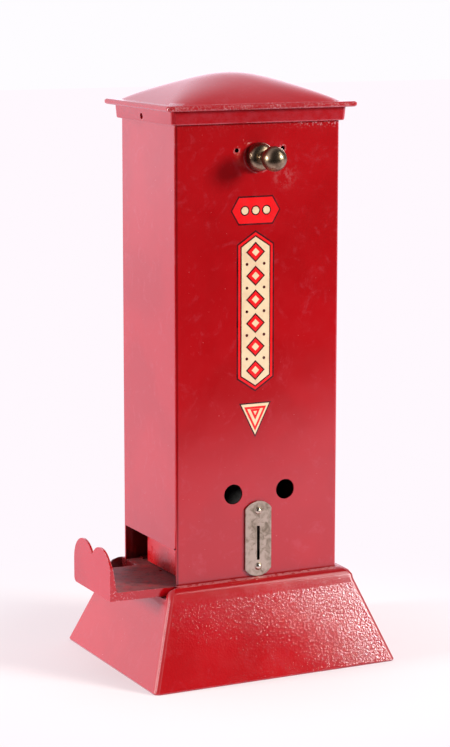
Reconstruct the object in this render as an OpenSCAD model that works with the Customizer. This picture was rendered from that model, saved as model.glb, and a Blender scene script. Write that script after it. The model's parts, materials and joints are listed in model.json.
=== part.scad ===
// Counter-top match vending machine: sheet-metal tower on a cast pedestal,
// packets leave sideways onto a cast tray when the slide is pulled out and pushed home.
// Origin: middle of the pedestal's underside. Front is -Y, tray on -X, up is +Z. Millimetres.

/* [Tower] */
// width of the sheet-metal tower
body_w = 106.5; // [90:0.5:140]
// depth of the tower
body_d = 75; // [66:1:100]
// height of the tower above the pedestal
body_h = 276; // [220:1:340]
// sheet thickness of the tower and magazine
sheet = 1; // [0.8:0.1:1.4]
// outside bend radius of the tower's corners
bend_r = 1.6; // [1.2:0.1:3]
// room above the packet in the delivery opening
exit_play = 3.4; // [2:0.1:5]
// width of the screw tabs at the tower's foot
tab_w = 20; // [12:1:24]
// depth of those tabs
tab_d = 7; // [6:0.1:8]

/* [Pedestal] */
// pedestal width at the bottom
base_w = 160; // [140:1:200]
// pedestal depth at the bottom
base_d = 131; // [112:1:170]
// pedestal height
base_h = 55; // [46:1:70]
// casting wall
base_wall = 4.3; // [3:0.1:6]
// how far the top of the slope stands out from the tower
shoulder_out = 8.6; // [6:0.1:10]
// drop from the tower's seat to the top of the slope
shoulder_drop = 6.5; // [4:0.1:8]
// how far the rim stands up round the tower's foot
rim_up = 0.6; // [0.3:0.1:1.5]
// radius of the sloping corners
base_corner = 3; // [2:0.1:6]
// thickness of the bottom cover, flush with the pedestal's rim
cover_t = 2; // [1.6:0.1:3]

/* [Deck and tray] */
// thickness of the deck and tray casting
deck_t = 5; // [4:0.1:7]
// how far the tray's lip stands out from the tower
tray_out = 40.7; // [34:0.1:60]
// how far the tray's front edge runs back towards the lip
tray_taper = 2.9; // [0:0.1:6]
// height of the lip above the tray floor
lip_h = 24.2; // [14:0.1:34]
// radius of the two lobes of the lip
lobe_r = 14.8; // [13:0.1:18]
// lip thickness at its foot
lip_foot = 3.9; // [3:0.1:6]
// lip thickness at its edge
lip_edge = 1.2; // [1:0.1:3]
// how far the pedestal's rim is cut down for the tray
rim_cut = 6.2; // [5.5:0.1:9]

/* [Lid] */
// gap between skirt and tower
skirt_gap = 0.4; // [0.3:0.05:0.8]
// skirt wall
skirt_t = 2.3; // [1.8:0.1:4]
// height of the skirt under the flange
skirt_h = 8; // [5:0.1:14]
// how far the flange stands out from the tower
flange_out = 8; // [6:0.1:12]
// flange thickness
flange_t = 3.1; // [2:0.1:5]
// height of the hipped dome above the flange
dome_h = 16.4; // [8:0.1:30]
// wall of the dome
dome_t = 2.8; // [2:0.1:4]
// how much wider the skirt is at the flange
skirt_flare = 0.6; // [0:0.1:1.5]
// diameter of the dimple in each side of the skirt
dimple_d = 3.7; // [2:0.1:4.5]
// depth of the dimple
dimple_deep = 1.2; // [0.6:0.1:1.6]

/* [Packets and magazine] */
// packet length, across the front
packet_w = 47; // [40:0.5:50]
// packet width, front to back
packet_d = 33; // [27:0.5:33.5]
// packet thickness
packet_t = 18; // [14:0.5:19]
// play of a packet in the magazine
packet_play = 1; // [0.6:0.1:1.6]
// middle of the magazine, to the right of the tower's middle
mag_x = 1.15; // [-2:0.05:2]
// gap between the magazine and the tower's top
mag_top_gap = 13; // [4:0.5:40]
// diameter of the two sight holes
sight_d = 12; // [8:0.1:12]
// distance between the sight holes
sight_gap = 34.3; // [24:0.1:34.4]
// height of the sight holes above the deck
sight_up = 51.6; // [40:0.1:90]

/* [Coin works] */
// coin diameter that sets the channel
coin_d = 19.05; // [17:0.01:23]
// coin thickness
coin_t = 1.52; // [1.2:0.01:2]
// play round the coin
coin_play = 0.25; // [0.1:0.05:0.5]
// width of the coin plate
plate_w = 17.2; // [14:0.1:22]
// height of the coin plate
plate_h = 45.4; // [40:0.1:60]
// thickness of the coin plate
plate_t = 1.3; // [1:0.1:2]
// radius of the coin plate's ends
plate_end_r = 10.6; // [9:0.1:16]
// middle of the coin slot above the deck
slot_up = 20.9; // [19:0.1:26]
// slot width
slot_w = 1.8; // [1.7:0.1:2.4]
// distance of the coin drop from the tower's right side
drop_in = 11.2; // [10:0.1:16]

/* [Slide] */
// distance of the slide's end face behind the tower's left side
face_in = 9.6; // [6:0.1:12]
// wall of the slide
slide_t = 2; // [1.5:0.1:3]
// how far the slide reaches behind the magazine
slide_past = 6.2; // [4:0.1:8]
// running gap between slide and its guides
run = 0.3; // [0.2:0.05:0.5]
// gap below the slide
lift = 0.4; // [0.3:0.05:0.6]
// width of the pull bar
bar_w = 40; // [30:1:46]
// height of the pull bar
bar_h = 12.6; // [10:0.1:16]
// distance of the pull bar's outer face from the tower
bar_out = 11.1; // [9:0.1:16]

/* [Knob] */
// distance of the knob from the tower's top
knob_down = 26.5; // [22:0.1:40]
// ball diameter
ball_d = 14.6; // [10:0.1:18]
// ball middle from the front
ball_out = 19.5; // [18:0.1:28]
// collar diameter
collar_d = 16.6; // [12:0.1:20]
// stud diameter
stud_d = 5; // [4:0.1:6]
// thickness of the lid's tongue
tongue_t = 1.6; // [1.2:0.1:2]
// width of the tongue
tongue_w = 22; // [16:1:26]

/* [Fasteners] */
// screw diameter
screw_d = 3; // [2.5:0.1:3.5]
// rivet diameter
rivet_d = 3; // [2.4:0.1:3.4]
// radial fit of screws, rivets and pins in their holes
fit = 0.05; // [0.03:0.01:0.09]

/* [Hidden] */
eps = 0.01;
hw = body_w / 2;
hd = body_d / 2;
deck_z = base_h;
top_z = base_h + body_h;
iw = hw - sheet;
id = hd - sheet;

// pedestal section: half width and half depth of the slope at height z
slope_top = base_h - shoulder_drop;
function base_x(z) = base_w / 2 + (hw + shoulder_out - base_w / 2) * z / slope_top;
function base_y(z) = base_d / 2 + (hd + shoulder_out - base_d / 2) * z / slope_top;
skin = base_wall * 1.08;
// deck recess in the pedestal's rim and the ledge under it
rim_in = 2.5;
ledge_in = 4.5;
ledge_t = 4;
seat_gap = 0.4;
rec_x = hw - rim_in;
rec_y = hd - rim_in;
ledge_z = base_h - deck_t;
boss_r = 4.5;
boss_h = 13;
cover_top = cover_t;
sunk = 1.3;
boss_x = base_x(cover_top) - skin - boss_r - 2.5;
boss_y = base_y(cover_top) - skin - boss_r - 2.5;
head_h = 1.5;
screw_r = screw_d / 2;
rivet_r = rivet_d / 2;

// coin channel, magazine and slide share these planes
chan_back = -id + coin_d + coin_play;
mag_in_x = (packet_w + packet_play) / 2;
mag_front = chan_back;
mag_back = mag_front + 2 * sheet + packet_d + packet_play;
slide_top = deck_z + packet_t - 0.2;
mag_z = slide_top + 0.6;
mag_h = top_z - mag_top_gap - mag_z;
exit_h = packet_t + exit_play;
slide_rear = mag_back + slide_past;
drop_at = hw - drop_in;
face_x = -hw + face_in;
travel = mag_x + mag_in_x + 0.25 - face_x;
slot_z = deck_z + slot_up;
slot_h = coin_d + 1.55;
sight_z = deck_z + sight_up;
carrier_front = chan_back - 11.8;
carrier_top = deck_z + 14;
carrier_left = face_x - 0.4;
carrier_right = 14;
pocket = coin_t + 2 * coin_play;
open_right_y0 = carrier_front - 1.8;
open_right_y1 = slide_rear + 2.2;
open_right_top = deck_z + exit_h + 0.6;
flange_x = hw + 0.4;
rib_w = 2;

// tray: its front edge at the tower and at the lip, its rear edge, the lip's two lobes
tray_root = hd - 0.3;
tray_tip = tray_root - tray_taper;
tray_rear = mag_back + 0.2;
lip_x = -hw - tray_out;
lobe_z = deck_z + lip_h - lobe_r;
lobe_front = lobe_r - tray_tip - 1;
lobe_rear = tray_rear + 0.3 - lobe_r;

// pawl that the coin lifts
pawl_x = 20;
pawl_z = mag_z + 5.6;
pawl_front = chan_back - 4.3;
pawl_back = chan_back - 1.9;
pawl_boss = 3.4;

// knob and tongue
knob_z = top_z - knob_down;
tongue_y = -id + 0.4;
clamp_y = tongue_y + tongue_t + 0.4;
clamp_t = 2.2;
clamp_h = 22;
ledge_top = top_z;
lid_under = top_z + 1.2;
flange_z = top_z + 1;
lid_top = flange_z + flange_t;
foot_x = hw + 1.4;
foot_y = hd + 3.4;
boss_in = 26.5;
screw_in = 7;

// screw and rivet places
tab_x = 34;
tab_y = hd - 5.5;
tab_head_r = 2.3;
tabs = [[-tab_x, -tab_y], [-tab_x, tab_y], [tab_x, tab_y]];
bolt_x = rec_x - 10;
bolt_y = rec_y - 2.3;
bracket_h = 18;
bracket_w = 28;
ear_w = 10;
bracket_up_z = mag_z + mag_h - 38;
bracket_low_z = mag_z + 26.6;
strap = 1.2;
plate_z0 = deck_z + rim_up + 0.2;
plate_mid = plate_z0 + plate_h / 2;
plate_rivet_up = plate_h / 2 - 5.8;
rivet_x = [carrier_left + 8, carrier_left + 32, carrier_right - 5];
rivet_z = deck_z + 7.6;
stop_x = face_x + slide_t + travel + run + 3;
stop_y = 4;

module rr(w, d, r) {
    square([w - 2 * r, d], center = true);
    square([w, d - 2 * r], center = true);
    for (x = [-1, 1], y = [-1, 1])
        translate([x * (w / 2 - r), y * (d / 2 - r)]) circle(r, $fn = 32);
}

module rbox(w, d, r, z0, z1) {
    translate([0, 0, z0]) linear_extrude(z1 - z0) rr(w, d, r);
}

module box(x0, x1, y0, y1, z0, z1) {
    translate([x0, y0, z0]) cube([x1 - x0, y1 - y0, z1 - z0]);
}

// round bar along Z, Y or X between two planes
module zrod(x, y, z0, z1, r) {
    translate([x, y, z0]) cylinder(h = z1 - z0, r = r, $fn = 32);
}
module yrod(x, z, y0, y1, r) {
    translate([x, y0, z]) rotate([-90, 0, 0]) cylinder(h = y1 - y0, r = r, $fn = 32);
}
module xrod(y, z, x0, x1, r) {
    translate([x0, y, z]) rotate([0, 90, 0]) cylinder(h = x1 - x0, r = r, $fn = 32);
}

// domed head turned about Z, foot at the origin, rising to h
module dome_head(r, h) {
    R = (r * r + h * h) / (2 * h);
    rotate_extrude($fn = 32) intersection() {
        translate([0, h - R]) circle(R, $fn = 48);
        square([r, h]);
    }
}

// solid through a list of rings with the same number of points, closed flat at both ends
module loft(rings) {
    n = len(rings[0]);
    k = len(rings);
    polyhedron(points = [for (r = rings) each r], faces = concat(
        [[for (i = [0:n - 1]) i]],
        [for (j = [0:k - 2], i = [0:n - 1]) each [
            [j * n + i, (j + 1) * n + i, j * n + (i + 1) % n],
            [j * n + (i + 1) % n, (j + 1) * n + i, (j + 1) * n + (i + 1) % n]]],
        [[for (i = [n - 1:-1:0]) (k - 1) * n + i]]));
}

// rounded rectangle at height z, half sizes x and y
corner_n = 5;
function rect_ring(x, y, r, z) = [for (q = [0:3], i = [0:corner_n - 1]) let (a = 90 * (q + i / (corner_n - 1)))
    [(q == 0 || q == 3 ? 1 : -1) * (x - r) + r * cos(a), (q < 2 ? 1 : -1) * (y - r) + r * sin(a), z]];

module pedestal_outside() {
    loft(concat(
        [rect_ring(base_x(0) - 0.9, base_y(0) - 0.9, base_corner, 0), rect_ring(base_x(1), base_y(1), base_corner, 1)],
        [for (a = [0:22.5:90]) let (o = shoulder_out * (0.14 + 0.86 * cos(a)))
            rect_ring(hw + o, hd + o, base_corner, slope_top + (shoulder_drop + rim_up) * sin(a))]));
}

module pedestal_inside() {
    top = ledge_z - ledge_t;
    loft([rect_ring(base_x(-1) - skin, base_y(-1) - skin, base_corner, -1),
        rect_ring(base_x(top) - skin, base_y(top) - skin, base_corner, top)]);
}

// cast pedestal, hollow to hold the coins
module base() color("firebrick") {
    difference() {
        union() {
            difference() {
                pedestal_outside();
                pedestal_inside();
            }
            for (x = [-1, 1], y = [-1, 1])
                zrod(x * boss_x, y * boss_y, cover_top, cover_top + boss_h, boss_r);
        }
        // the tower's foot stands inside the rim
        rbox(body_w + 0.6, body_d + 0.6, bend_r + 0.3, base_h, base_h + rim_up + 1);
        // recess for the deck, ledge and hollow below it
        box(-rec_x, rec_x, -rec_y, rec_y, ledge_z, base_h + 1);
        box(-rec_x + ledge_in, rec_x - ledge_in, -rec_y + ledge_in, rec_y - ledge_in,
            ledge_z - ledge_t - 1, base_h + 1);
        // left side cut down for the tray
        box(-base_w, -hw - 0.1, -hd - 3.6, hd + 3.6, base_h - rim_cut, base_h + rim_up + 1);
        box(-hw - 1, -rec_x + ledge_in, -rec_y, rec_y, base_h - rim_cut, base_h + 1);
        // right side level with the deck where the slide comes out
        box(hw - 1, base_w, open_right_y0 - 2, open_right_y1 + 2, base_h, base_h + rim_up + 1);
        // way for the coin past the ledge
        box(drop_at - pocket, drop_at + pocket, -id - 0.3, -rec_y + ledge_in + 1,
            ledge_z - ledge_t - 1, base_h + 1);
        for (x = [-1, 1], y = [-1, 1]) {
            zrod(x * boss_x, y * boss_y, cover_top - 1, cover_top + 9, screw_r + fit);
            zrod(x * bolt_x, y * bolt_y, ledge_z - ledge_t - 1, ledge_z + 1, screw_r + fit);
        }
    }
}

// plate that closes the hollow from below, its screw heads sunk flush
module bottom_cover() color("dimgray") {
    difference() {
        rbox(2 * (base_x(cover_top) - skin - 0.3), 2 * (base_y(cover_top) - skin - 0.3), base_corner, 0, cover_top);
        for (x = [-1, 1], y = [-1, 1]) {
            zrod(x * boss_x, y * boss_y, -1, cover_top + 1, screw_r + fit);
            zrod(x * boss_x, y * boss_y, -1, sunk, screw_d + 0.3);
        }
    }
}

module bottom_cover_screws() color("silver") {
    for (x = [-1, 1], y = [-1, 1]) {
        zrod(x * boss_x, y * boss_y, sunk - eps, cover_top + 7, screw_r);
        zrod(x * boss_x, y * boss_y, 0, sunk, screw_d);
    }
}

module lip_outline() {
    translate([-tray_tip, deck_z - deck_t])
        square([tray_tip + lobe_rear + lobe_r, lobe_z - deck_z + deck_t]);
    for (y = [lobe_front, lobe_rear]) translate([y, lobe_z]) circle(lobe_r, $fn = 64);
}

// deck under the tower and the tray that sticks out beside it, one casting
module deck_tray() color("indianred") {
    lx = rec_x - seat_gap;
    ly = rec_y - seat_gap;
    difference() {
        union() {
            box(-hw + 0.2, lx, -ly, ly, ledge_z, deck_z);
            translate([0, 0, ledge_z]) linear_extrude(deck_t) polygon([
                [-rec_x, -ly], [-hw - 0.2, -ly], [-hw - 0.2, -tray_root], [lip_x + lip_foot / 2, -tray_tip],
                [lip_x + lip_foot / 2, tray_rear - 1], [-hw, tray_rear], [-rec_x, tray_rear]]);
            // lobed lip, thinner towards its edge
            intersection() {
                translate([lip_x, 0, 0]) rotate([90, 0, 90]) linear_extrude(lip_foot + 2)
                    intersection() {
                        lip_outline();
                        translate([-tray_tip, 0])
                            square([tray_tip + lobe_rear + lobe_r, 2 * deck_z + lip_h]);
                    }
                rotate([90, 0, 0]) translate([0, 0, -base_d / 2]) linear_extrude(base_d) polygon([
                    [lip_x, ledge_z], [lip_x + lip_foot + 1.4, ledge_z], [lip_x + lip_foot + 1.4, deck_z],
                    [lip_x + lip_foot + 0.4, deck_z + 0.4], [lip_x + lip_foot, deck_z + 1.4],
                    [lip_x + lip_foot * 0.85, deck_z + lip_h * 0.25],
                    [lip_x + lip_foot * 0.62, deck_z + lip_h * 0.48],
                    [lip_x + lip_edge * 1.15, deck_z + lip_h * 0.72],
                    [lip_x + lip_edge, deck_z + lip_h], [lip_x + lip_edge, deck_z + lip_h + 1],
                    [lip_x, deck_z + lip_h + 1]]);
            }
            // rib that guides the slide's rear side, clear of the tower's rear tabs
            difference() {
                box(face_x + 2, lx - 1, slide_rear + run, slide_rear + run + rib_w, deck_z - eps, deck_z + 5);
                for (s = [-1, 1])
                    box(s * tab_x - tab_w / 2 - run, s * tab_x + tab_w / 2 + run, tab_y - tab_head_r - run, hd,
                        deck_z, deck_z + 6);
            }
        }
        // rounded lower rear corner of the lip
        difference() {
            box(lip_x - 1, lip_x + lip_foot + 1.3, lobe_rear + lobe_r - 3, lobe_rear + lobe_r + 1,
                ledge_z - 1, ledge_z + 3);
            xrod(lobe_rear + lobe_r - 3, ledge_z + 3, lip_x - 2, lip_x + lip_foot + 2, 3);
        }
        // coin drop
        box(drop_at - pocket / 2 - 0.3, drop_at + pocket / 2 + 0.3, -rec_y - 1, chan_back + 0.1,
            ledge_z - 1, deck_z + 1);
        // old fixing hole in front of the slide
        zrod(face_x - 2.1, 0.5, ledge_z - 1, deck_z + 1, 1.1);
        for (x = [-1, 1], y = [-1, 1]) zrod(x * bolt_x, y * bolt_y, ledge_z - 1, ledge_z + 3, screw_r + fit);
        for (p = tabs) zrod(p[0], p[1], deck_z - 3.8, deck_z + 1, screw_r + fit);
        zrod(stop_x, stop_y, deck_z - 3.8, deck_z + 1, screw_r + fit);
    }
}

module deck_bolts() color("silver") {
    for (x = [-1, 1], y = [-1, 1]) {
        zrod(x * bolt_x, y * bolt_y, ledge_z - ledge_t - eps, ledge_z + 2.6, screw_r);
        zrod(x * bolt_x, y * bolt_y, ledge_z - ledge_t - 2, ledge_z - ledge_t, screw_d);
    }
}

// folded sheet tower
module tower_shell() color("crimson") {
    difference() {
        union() {
            difference() {
                rbox(body_w, body_d, bend_r, deck_z, top_z);
                rbox(2 * iw, 2 * id, bend_r - sheet, deck_z - 1, top_z + 1);
            }
            box(-tab_x - tab_w / 2, -tab_x + tab_w / 2, -id - eps, -id - sheet + tab_d, deck_z, deck_z + sheet);
            for (s = [-1, 1])
                box(s * tab_x - tab_w / 2, s * tab_x + tab_w / 2, id + sheet - tab_d, id + eps,
                    deck_z, deck_z + sheet);
        }
        // delivery opening on the left with its bend relief, slide opening on the right
        box(-hw - 1, -iw + eps, -id, id - 1.5, deck_z - 1, deck_z + exit_h);
        xrod(-id + 0.6, deck_z + exit_h + 0.2, -hw - 1, -iw + 1, 1.1);
        box(iw - eps, hw + 1, open_right_y0, open_right_y1, deck_z - 1, open_right_top);
        for (s = [-1, 1])
            yrod(mag_x + s * sight_gap / 2, sight_z, -hd - 1, -id + 1, sight_d / 2);
        box(-slot_w / 2 - 0.6, slot_w / 2 + 0.6, -hd - 1, -id + 1, slot_z - slot_h / 2 - 0.6, slot_z + slot_h / 2 + 0.6);
        for (s = [-1, 1]) yrod(0, plate_mid + s * plate_rivet_up, -hd - 1, -id + 1, rivet_r + fit);
        yrod(0, knob_z, -hd - 1, -id + 1, stud_d / 2 + 0.3);
        yrod(-14.1, knob_z + 3.9, -hd - 1, -id + 1, 1.3);
        yrod(15.8, knob_z + 4.3, -hd - 1, -id + 1, 1.3);
        for (z = [bracket_up_z, bracket_low_z], s = [-1, 1])
            yrod(mag_x + s * (bracket_w + ear_w - strap) / 2, z + bracket_h / 2, id - 1, hd + 1, rivet_r + fit);
        for (p = tabs) zrod(p[0], p[1], deck_z - 1, deck_z + 2, screw_r + fit);
    }
}

module tower_screws() color("silver") {
    for (p = tabs) {
        zrod(p[0], p[1], deck_z - 3.4, deck_z + sheet + eps, screw_r);
        zrod(p[0], p[1], deck_z + sheet, deck_z + sheet + head_h, tab_head_r);
    }
}

// plate with the coin slot, round-ended, riveted to the front
module coin_plate() color("darkgray") {
    translate([0, -hd, plate_mid]) rotate([90, 0, 0]) linear_extrude(plate_t) difference() {
        intersection() {
            square([plate_w, plate_h], center = true);
            translate([0, plate_h / 2 - plate_end_r]) union() {
                circle(plate_end_r, $fn = 64);
                translate([-plate_w, -plate_h]) square([2 * plate_w, plate_h]);
            }
            translate([0, -plate_h / 2 + plate_end_r]) union() {
                circle(plate_end_r, $fn = 64);
                translate([-plate_w, 0]) square([2 * plate_w, plate_h]);
            }
        }
        translate([0, slot_z - plate_mid]) square([slot_w, slot_h], center = true);
        for (s = [-1, 1]) translate([0, s * plate_rivet_up]) circle(rivet_r + fit, $fn = 32);
    }
}

module coin_plate_rivets() color("gainsboro") {
    for (s = [-1, 1]) {
        z = plate_mid + s * plate_rivet_up;
        yrod(0, z, -hd - plate_t - eps, -id + eps, rivet_r);
        translate([0, -hd - plate_t, z]) rotate([90, 0, 0]) dome_head(2.3, 1.5);
        yrod(0, z, -id, -id + 0.8, 2.2);
    }
}

// folded guide that keeps the coin upright behind the slot
module coin_chute() color("lightgray") {
    g = pocket / 2 + 0.2;
    y1 = pawl_front - 1;
    z0 = carrier_top + 1.2;
    z1 = slot_z + slot_h / 2 + 1.7;
    for (s = [-1, 1]) {
        box(min(s * g, s * (g + sheet)), max(s * g, s * (g + sheet)), -id, y1, z0, z1);
        box(min(s * g, s * (g + 7)), max(s * g, s * (g + 7)), -id, -id + sheet, z0, z1);
    }
    box(-g - sheet, g + sheet, -id, y1, z1 - sheet, z1);
}

// sheet tube that holds the stack of packets
module magazine() color("rosybrown") {
    translate([mag_x, (mag_front + mag_back) / 2, 0]) difference() {
        rbox(2 * (mag_in_x + sheet), mag_back - mag_front, bend_r, mag_z, mag_z + mag_h);
        rbox(2 * mag_in_x, mag_back - mag_front - 2 * sheet, bend_r - sheet, mag_z - 1, mag_z + mag_h + 1);
        for (s = [-1, 1])
            yrod(s * sight_gap / 2, sight_z, -body_d / 2, 0, sight_d / 2);
        yrod(pawl_x - mag_x, pawl_z, -body_d / 2, 0, screw_r + fit);
    }
}

// hat-shaped strap between the magazine and the tower's back
module bracket(z) {
    translate([mag_x, 0, z]) {
        box(-bracket_w / 2, bracket_w / 2, mag_back, mag_back + strap, 0, bracket_h);
        for (s = [0, 1]) mirror([s, 0, 0]) {
            box(bracket_w / 2 - strap, bracket_w / 2, mag_back, id, 0, bracket_h);
            difference() {
                box(bracket_w / 2 - strap, bracket_w / 2 - strap + ear_w, id - strap, id, 0, bracket_h);
                yrod((bracket_w + ear_w - strap) / 2, bracket_h / 2, id - strap - 1, id + 1, rivet_r + fit);
            }
        }
    }
}
module magazine_upper_bracket() color("gray") bracket(bracket_up_z);
module magazine_lower_bracket() color("gray") bracket(bracket_low_z);

module bracket_rivets() color("brown") {
    for (z = [bracket_up_z, bracket_low_z], s = [-1, 1]) {
        x = mag_x + s * (bracket_w + ear_w - strap) / 2;
        yrod(x, z + bracket_h / 2, id - strap - eps, hd + eps, rivet_r);
        translate([x, hd, z + bracket_h / 2]) rotate([-90, 0, 0]) dome_head(2.9, 1.4);
        yrod(x, z + bracket_h / 2, id - strap - 1, id - strap, 2.6);
    }
}

// pin for the coin pawl, riveted flush into the magazine
module pawl_pin() color("silver") {
    yrod(pawl_x, pawl_z, pawl_front - 0.4, chan_back + sheet, screw_r);
    yrod(pawl_x, pawl_z, pawl_back + run, chan_back, 3.2);
    yrod(pawl_x, pawl_z, pawl_front - 1.3, pawl_front - run, screw_d);
}

module stop_screw() color("silver") {
    zrod(stop_x, stop_y, deck_z - 3.4, deck_z + eps, screw_r);
    zrod(stop_x, stop_y, deck_z, deck_z + 3.5, 3);
}

// plate nut behind the lid's tongue, its foot against the front keeps it from turning
module clamp_plate() color("gray") {
    difference() {
        union() {
            box(-9, 9, clamp_y, clamp_y + clamp_t, knob_z - clamp_h / 2 - 4, knob_z + clamp_h / 2 - 4);
            box(-9, 9, -id, clamp_y + eps, knob_z - clamp_h / 2 - 4, knob_z - clamp_h / 2 - 2);
        }
        yrod(0, knob_z, clamp_y - 1, clamp_y + clamp_t + 1, stud_d / 2 + fit);
    }
}

// turned knob: domed collar, neck, ball and stud
module knob() color("darkgoldenrod") {
    translate([0, -hd, knob_z]) rotate([90, 0, 0]) {
        rotate_extrude($fn = 64) difference() {
            polygon(concat(
                [[0, 0], [collar_d / 2 - 0.6, 0], [collar_d / 2, 0.7]],
                [for (a = [0:15:90]) [3.6 + (collar_d / 2 - 3.6) * cos(a), 2.2 + 5.2 * sin(a)]],
                [[3.2, 8.4], [3, 9.8], [3.1, 11.2], [3.6, 12.6], [4, ball_out - ball_d * 0.41], [0, ball_out - 1]]));
            translate([-1, -1]) square([1, ball_out + 1]);
        }
        translate([0, 0, ball_out]) sphere(d = ball_d, $fn = 48);
    }
    yrod(0, knob_z, -hd - eps, clamp_y + clamp_t + 2.5, stud_d / 2);
}

// hipped dome: half sizes a and b shrink from the foot to the top, corners soften on the way
function dome_z(s) = 1 - pow(s, 1.88);
function spow(c, e) = sign(c) * pow(abs(c), e);
function ring(a, b, m, z, n) = [for (i = [0:n - 1]) let (t = 360 * (i + 0.5) / n)
    [a * spow(cos(t), 2 / m), b * spow(sin(t), 2 / m), z]];

module dome(a, b, h, z0, sink, n, k) {
    steps = [for (j = [0:k - 1]) 1 - pow(j / k, 1.25) * 0.93];
    pts = concat(
        ring(a, b, 14, z0 - sink, n),
        [for (s = steps) each ring(a * s, b * s, 2.1 + 11.9 * pow(s, 4.4), z0 + h * dome_z(s), n)],
        [[0, 0, z0 + h]]);
    polyhedron(points = pts, faces = concat(
        [[for (i = [0:n - 1]) i]],
        [for (j = [0:k - 1], i = [0:n - 1]) each [
            [j * n + i, (j + 1) * n + i, j * n + (i + 1) % n],
            [j * n + (i + 1) % n, (j + 1) * n + i, (j + 1) * n + (i + 1) % n]]],
        [for (i = [0:n - 1]) [k * n + i, (k + 1) * n, k * n + (i + 1) % n]]));
}

// cast lid with skirt, flange and hollow dome
module lid() color("crimson") {
    sw = hw + skirt_gap + skirt_t;
    sd = hd + skirt_gap + skirt_t;
    edge = 0.8;
    difference() {
        union() {
            loft([for (p = [[edge, 0], [0, edge], [0, flange_t - edge], [edge, flange_t]])
                rect_ring(hw + flange_out - p[0], hd + flange_out - p[0], 2.4, flange_z + p[1])]);
            loft([for (p = [[-edge / 2, 0], [0, edge], [skirt_flare, skirt_h + 1]])
                rect_ring(sw + p[0], sd + p[0], 2.6, flange_z - skirt_h + p[1])]);
            dome(foot_x, foot_y, dome_h, lid_top, 1, 56, 12);
        }
        rbox(2 * (hw + skirt_gap), 2 * (hd + skirt_gap), bend_r + skirt_gap, flange_z - skirt_h - 1, ledge_top);
        rbox(2 * (iw - 0.2), 2 * (id - 0.2), 1, ledge_top - 1, lid_under);
        difference() {
            dome(foot_x - dome_t - 2.4, foot_y - dome_t - 3.4, dome_h - dome_t, lid_top,
                lid_top - lid_under + eps, 28, 6);
            for (s = [-1, 1]) zrod(s * screw_in, -boss_in, lid_under - 1, lid_top + 6, 3.4);
        }
        for (s = [-1, 1]) zrod(s * screw_in, -boss_in, lid_under - 1, lid_under + 4.6, screw_r + fit);
        xrod(2, flange_z - 5, -sw - 2, -sw + dimple_deep, dimple_d / 2);
        xrod(2, flange_z - 5, sw - dimple_deep, sw + 2, dimple_d / 2);
    }
}

// forked tongue under the lid that drops over the knob's stud
module lid_tongue() color("gray") {
    w = tongue_w / 2;
    z0 = knob_z - 7.2;
    difference() {
        union() {
            box(-w, w, tongue_y, tongue_y + tongue_t, z0, lid_under);
            box(-w, w, tongue_y, -boss_in + 5, lid_under - tongue_t, lid_under);
        }
        yrod(0, knob_z, tongue_y - 1, tongue_y + tongue_t + 1, stud_d / 2 + 0.4);
        box(-stud_d / 2 - 0.4, stud_d / 2 + 0.4, tongue_y - 1, tongue_y + tongue_t + 1, z0 - 1, knob_z);
        for (s = [-1, 1]) zrod(s * screw_in, -boss_in, lid_under - 3, lid_under + 1, screw_r + fit);
    }
}

module lid_tongue_screws() color("silver") {
    for (s = [-1, 1]) {
        zrod(s * screw_in, -boss_in, lid_under - tongue_t - eps, lid_under + 4, screw_r);
        zrod(s * screw_in, -boss_in, lid_under - tongue_t - head_h, lid_under - tongue_t, screw_d);
    }
}

// slide: a box open below, its end face pushes the packet, its top carries the stack
module slide_box() color("brown") {
    y0 = chan_back;
    y1 = slide_rear;
    z0 = deck_z + lift;
    r = 1.6;
    difference() {
        union() {
            translate([(face_x + flange_x) / 2, (y0 + y1) / 2, z0])
                linear_extrude(slide_top - z0) {
                    rr(flange_x - face_x, y1 - y0, r);
                    translate([0, -(y1 - y0) / 2]) square([(flange_x - face_x) / 2, y1 - y0]);
                }
            box(flange_x, flange_x + 1.5, open_right_y0 - 1, open_right_y1 + 1, z0 + 0.2, open_right_top + 2.4);
        }
        box(face_x + slide_t, flange_x, y0 + slide_t, y1 - slide_t, deck_z - 1, slide_top - 1.5);
        for (x = rivet_x) yrod(x, rivet_z, y0 - 1, y0 + slide_t + 1, rivet_r + fit);
        xrod(stop_y, deck_z + 10, flange_x - 1, flange_x + 3, screw_r + fit);
    }
}

module carrier(x0, x1) {
    difference() {
        box(x0, x1, carrier_front, chan_back, deck_z + 0.6, carrier_top);
        for (x = rivet_x) if (x > x0 && x < x1)
            yrod(x, rivet_z, carrier_front - 1, chan_back + 1, rivet_r + fit);
        // ramp that lifts the pawl on the way home
        translate([carrier_left, 0, carrier_top - 5]) rotate([0, -50, 0])
            translate([-20, carrier_front - 1, 0]) cube([40, 14, 20]);
    }
}
module carrier_block_left() color("slategray") carrier(carrier_left, -pocket / 2);
module carrier_block_right() color("slategray") carrier(pocket / 2, carrier_right);

module carrier_rivets() color("silver") {
    for (x = rivet_x) {
        yrod(x, rivet_z, carrier_front - eps, chan_back + slide_t + eps, rivet_r);
        yrod(x, rivet_z, carrier_front - 1, carrier_front, 2.3);
        yrod(x, rivet_z, chan_back + slide_t, chan_back + slide_t + 1, 2.3);
    }
}

// pull bar outside the right opening
module pull_bar() color("brown") {
    x1 = hw + bar_out;
    z0 = deck_z + 10;
    difference() {
        union() {
            translate([x1 - 4.2, stop_y, z0 + bar_h / 2]) rotate([90, 0, 90])
                linear_extrude(4.2) rr(bar_w, bar_h, 2);
            translate([flange_x + 1.5, stop_y, deck_z + 10]) rotate([90, 0, 90])
                linear_extrude(x1 - 4 - flange_x - 1.5) rr(12, 9, 2);
        }
        xrod(stop_y, deck_z + 10, flange_x, x1 - 2.4, screw_r + fit);
    }
}

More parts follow.
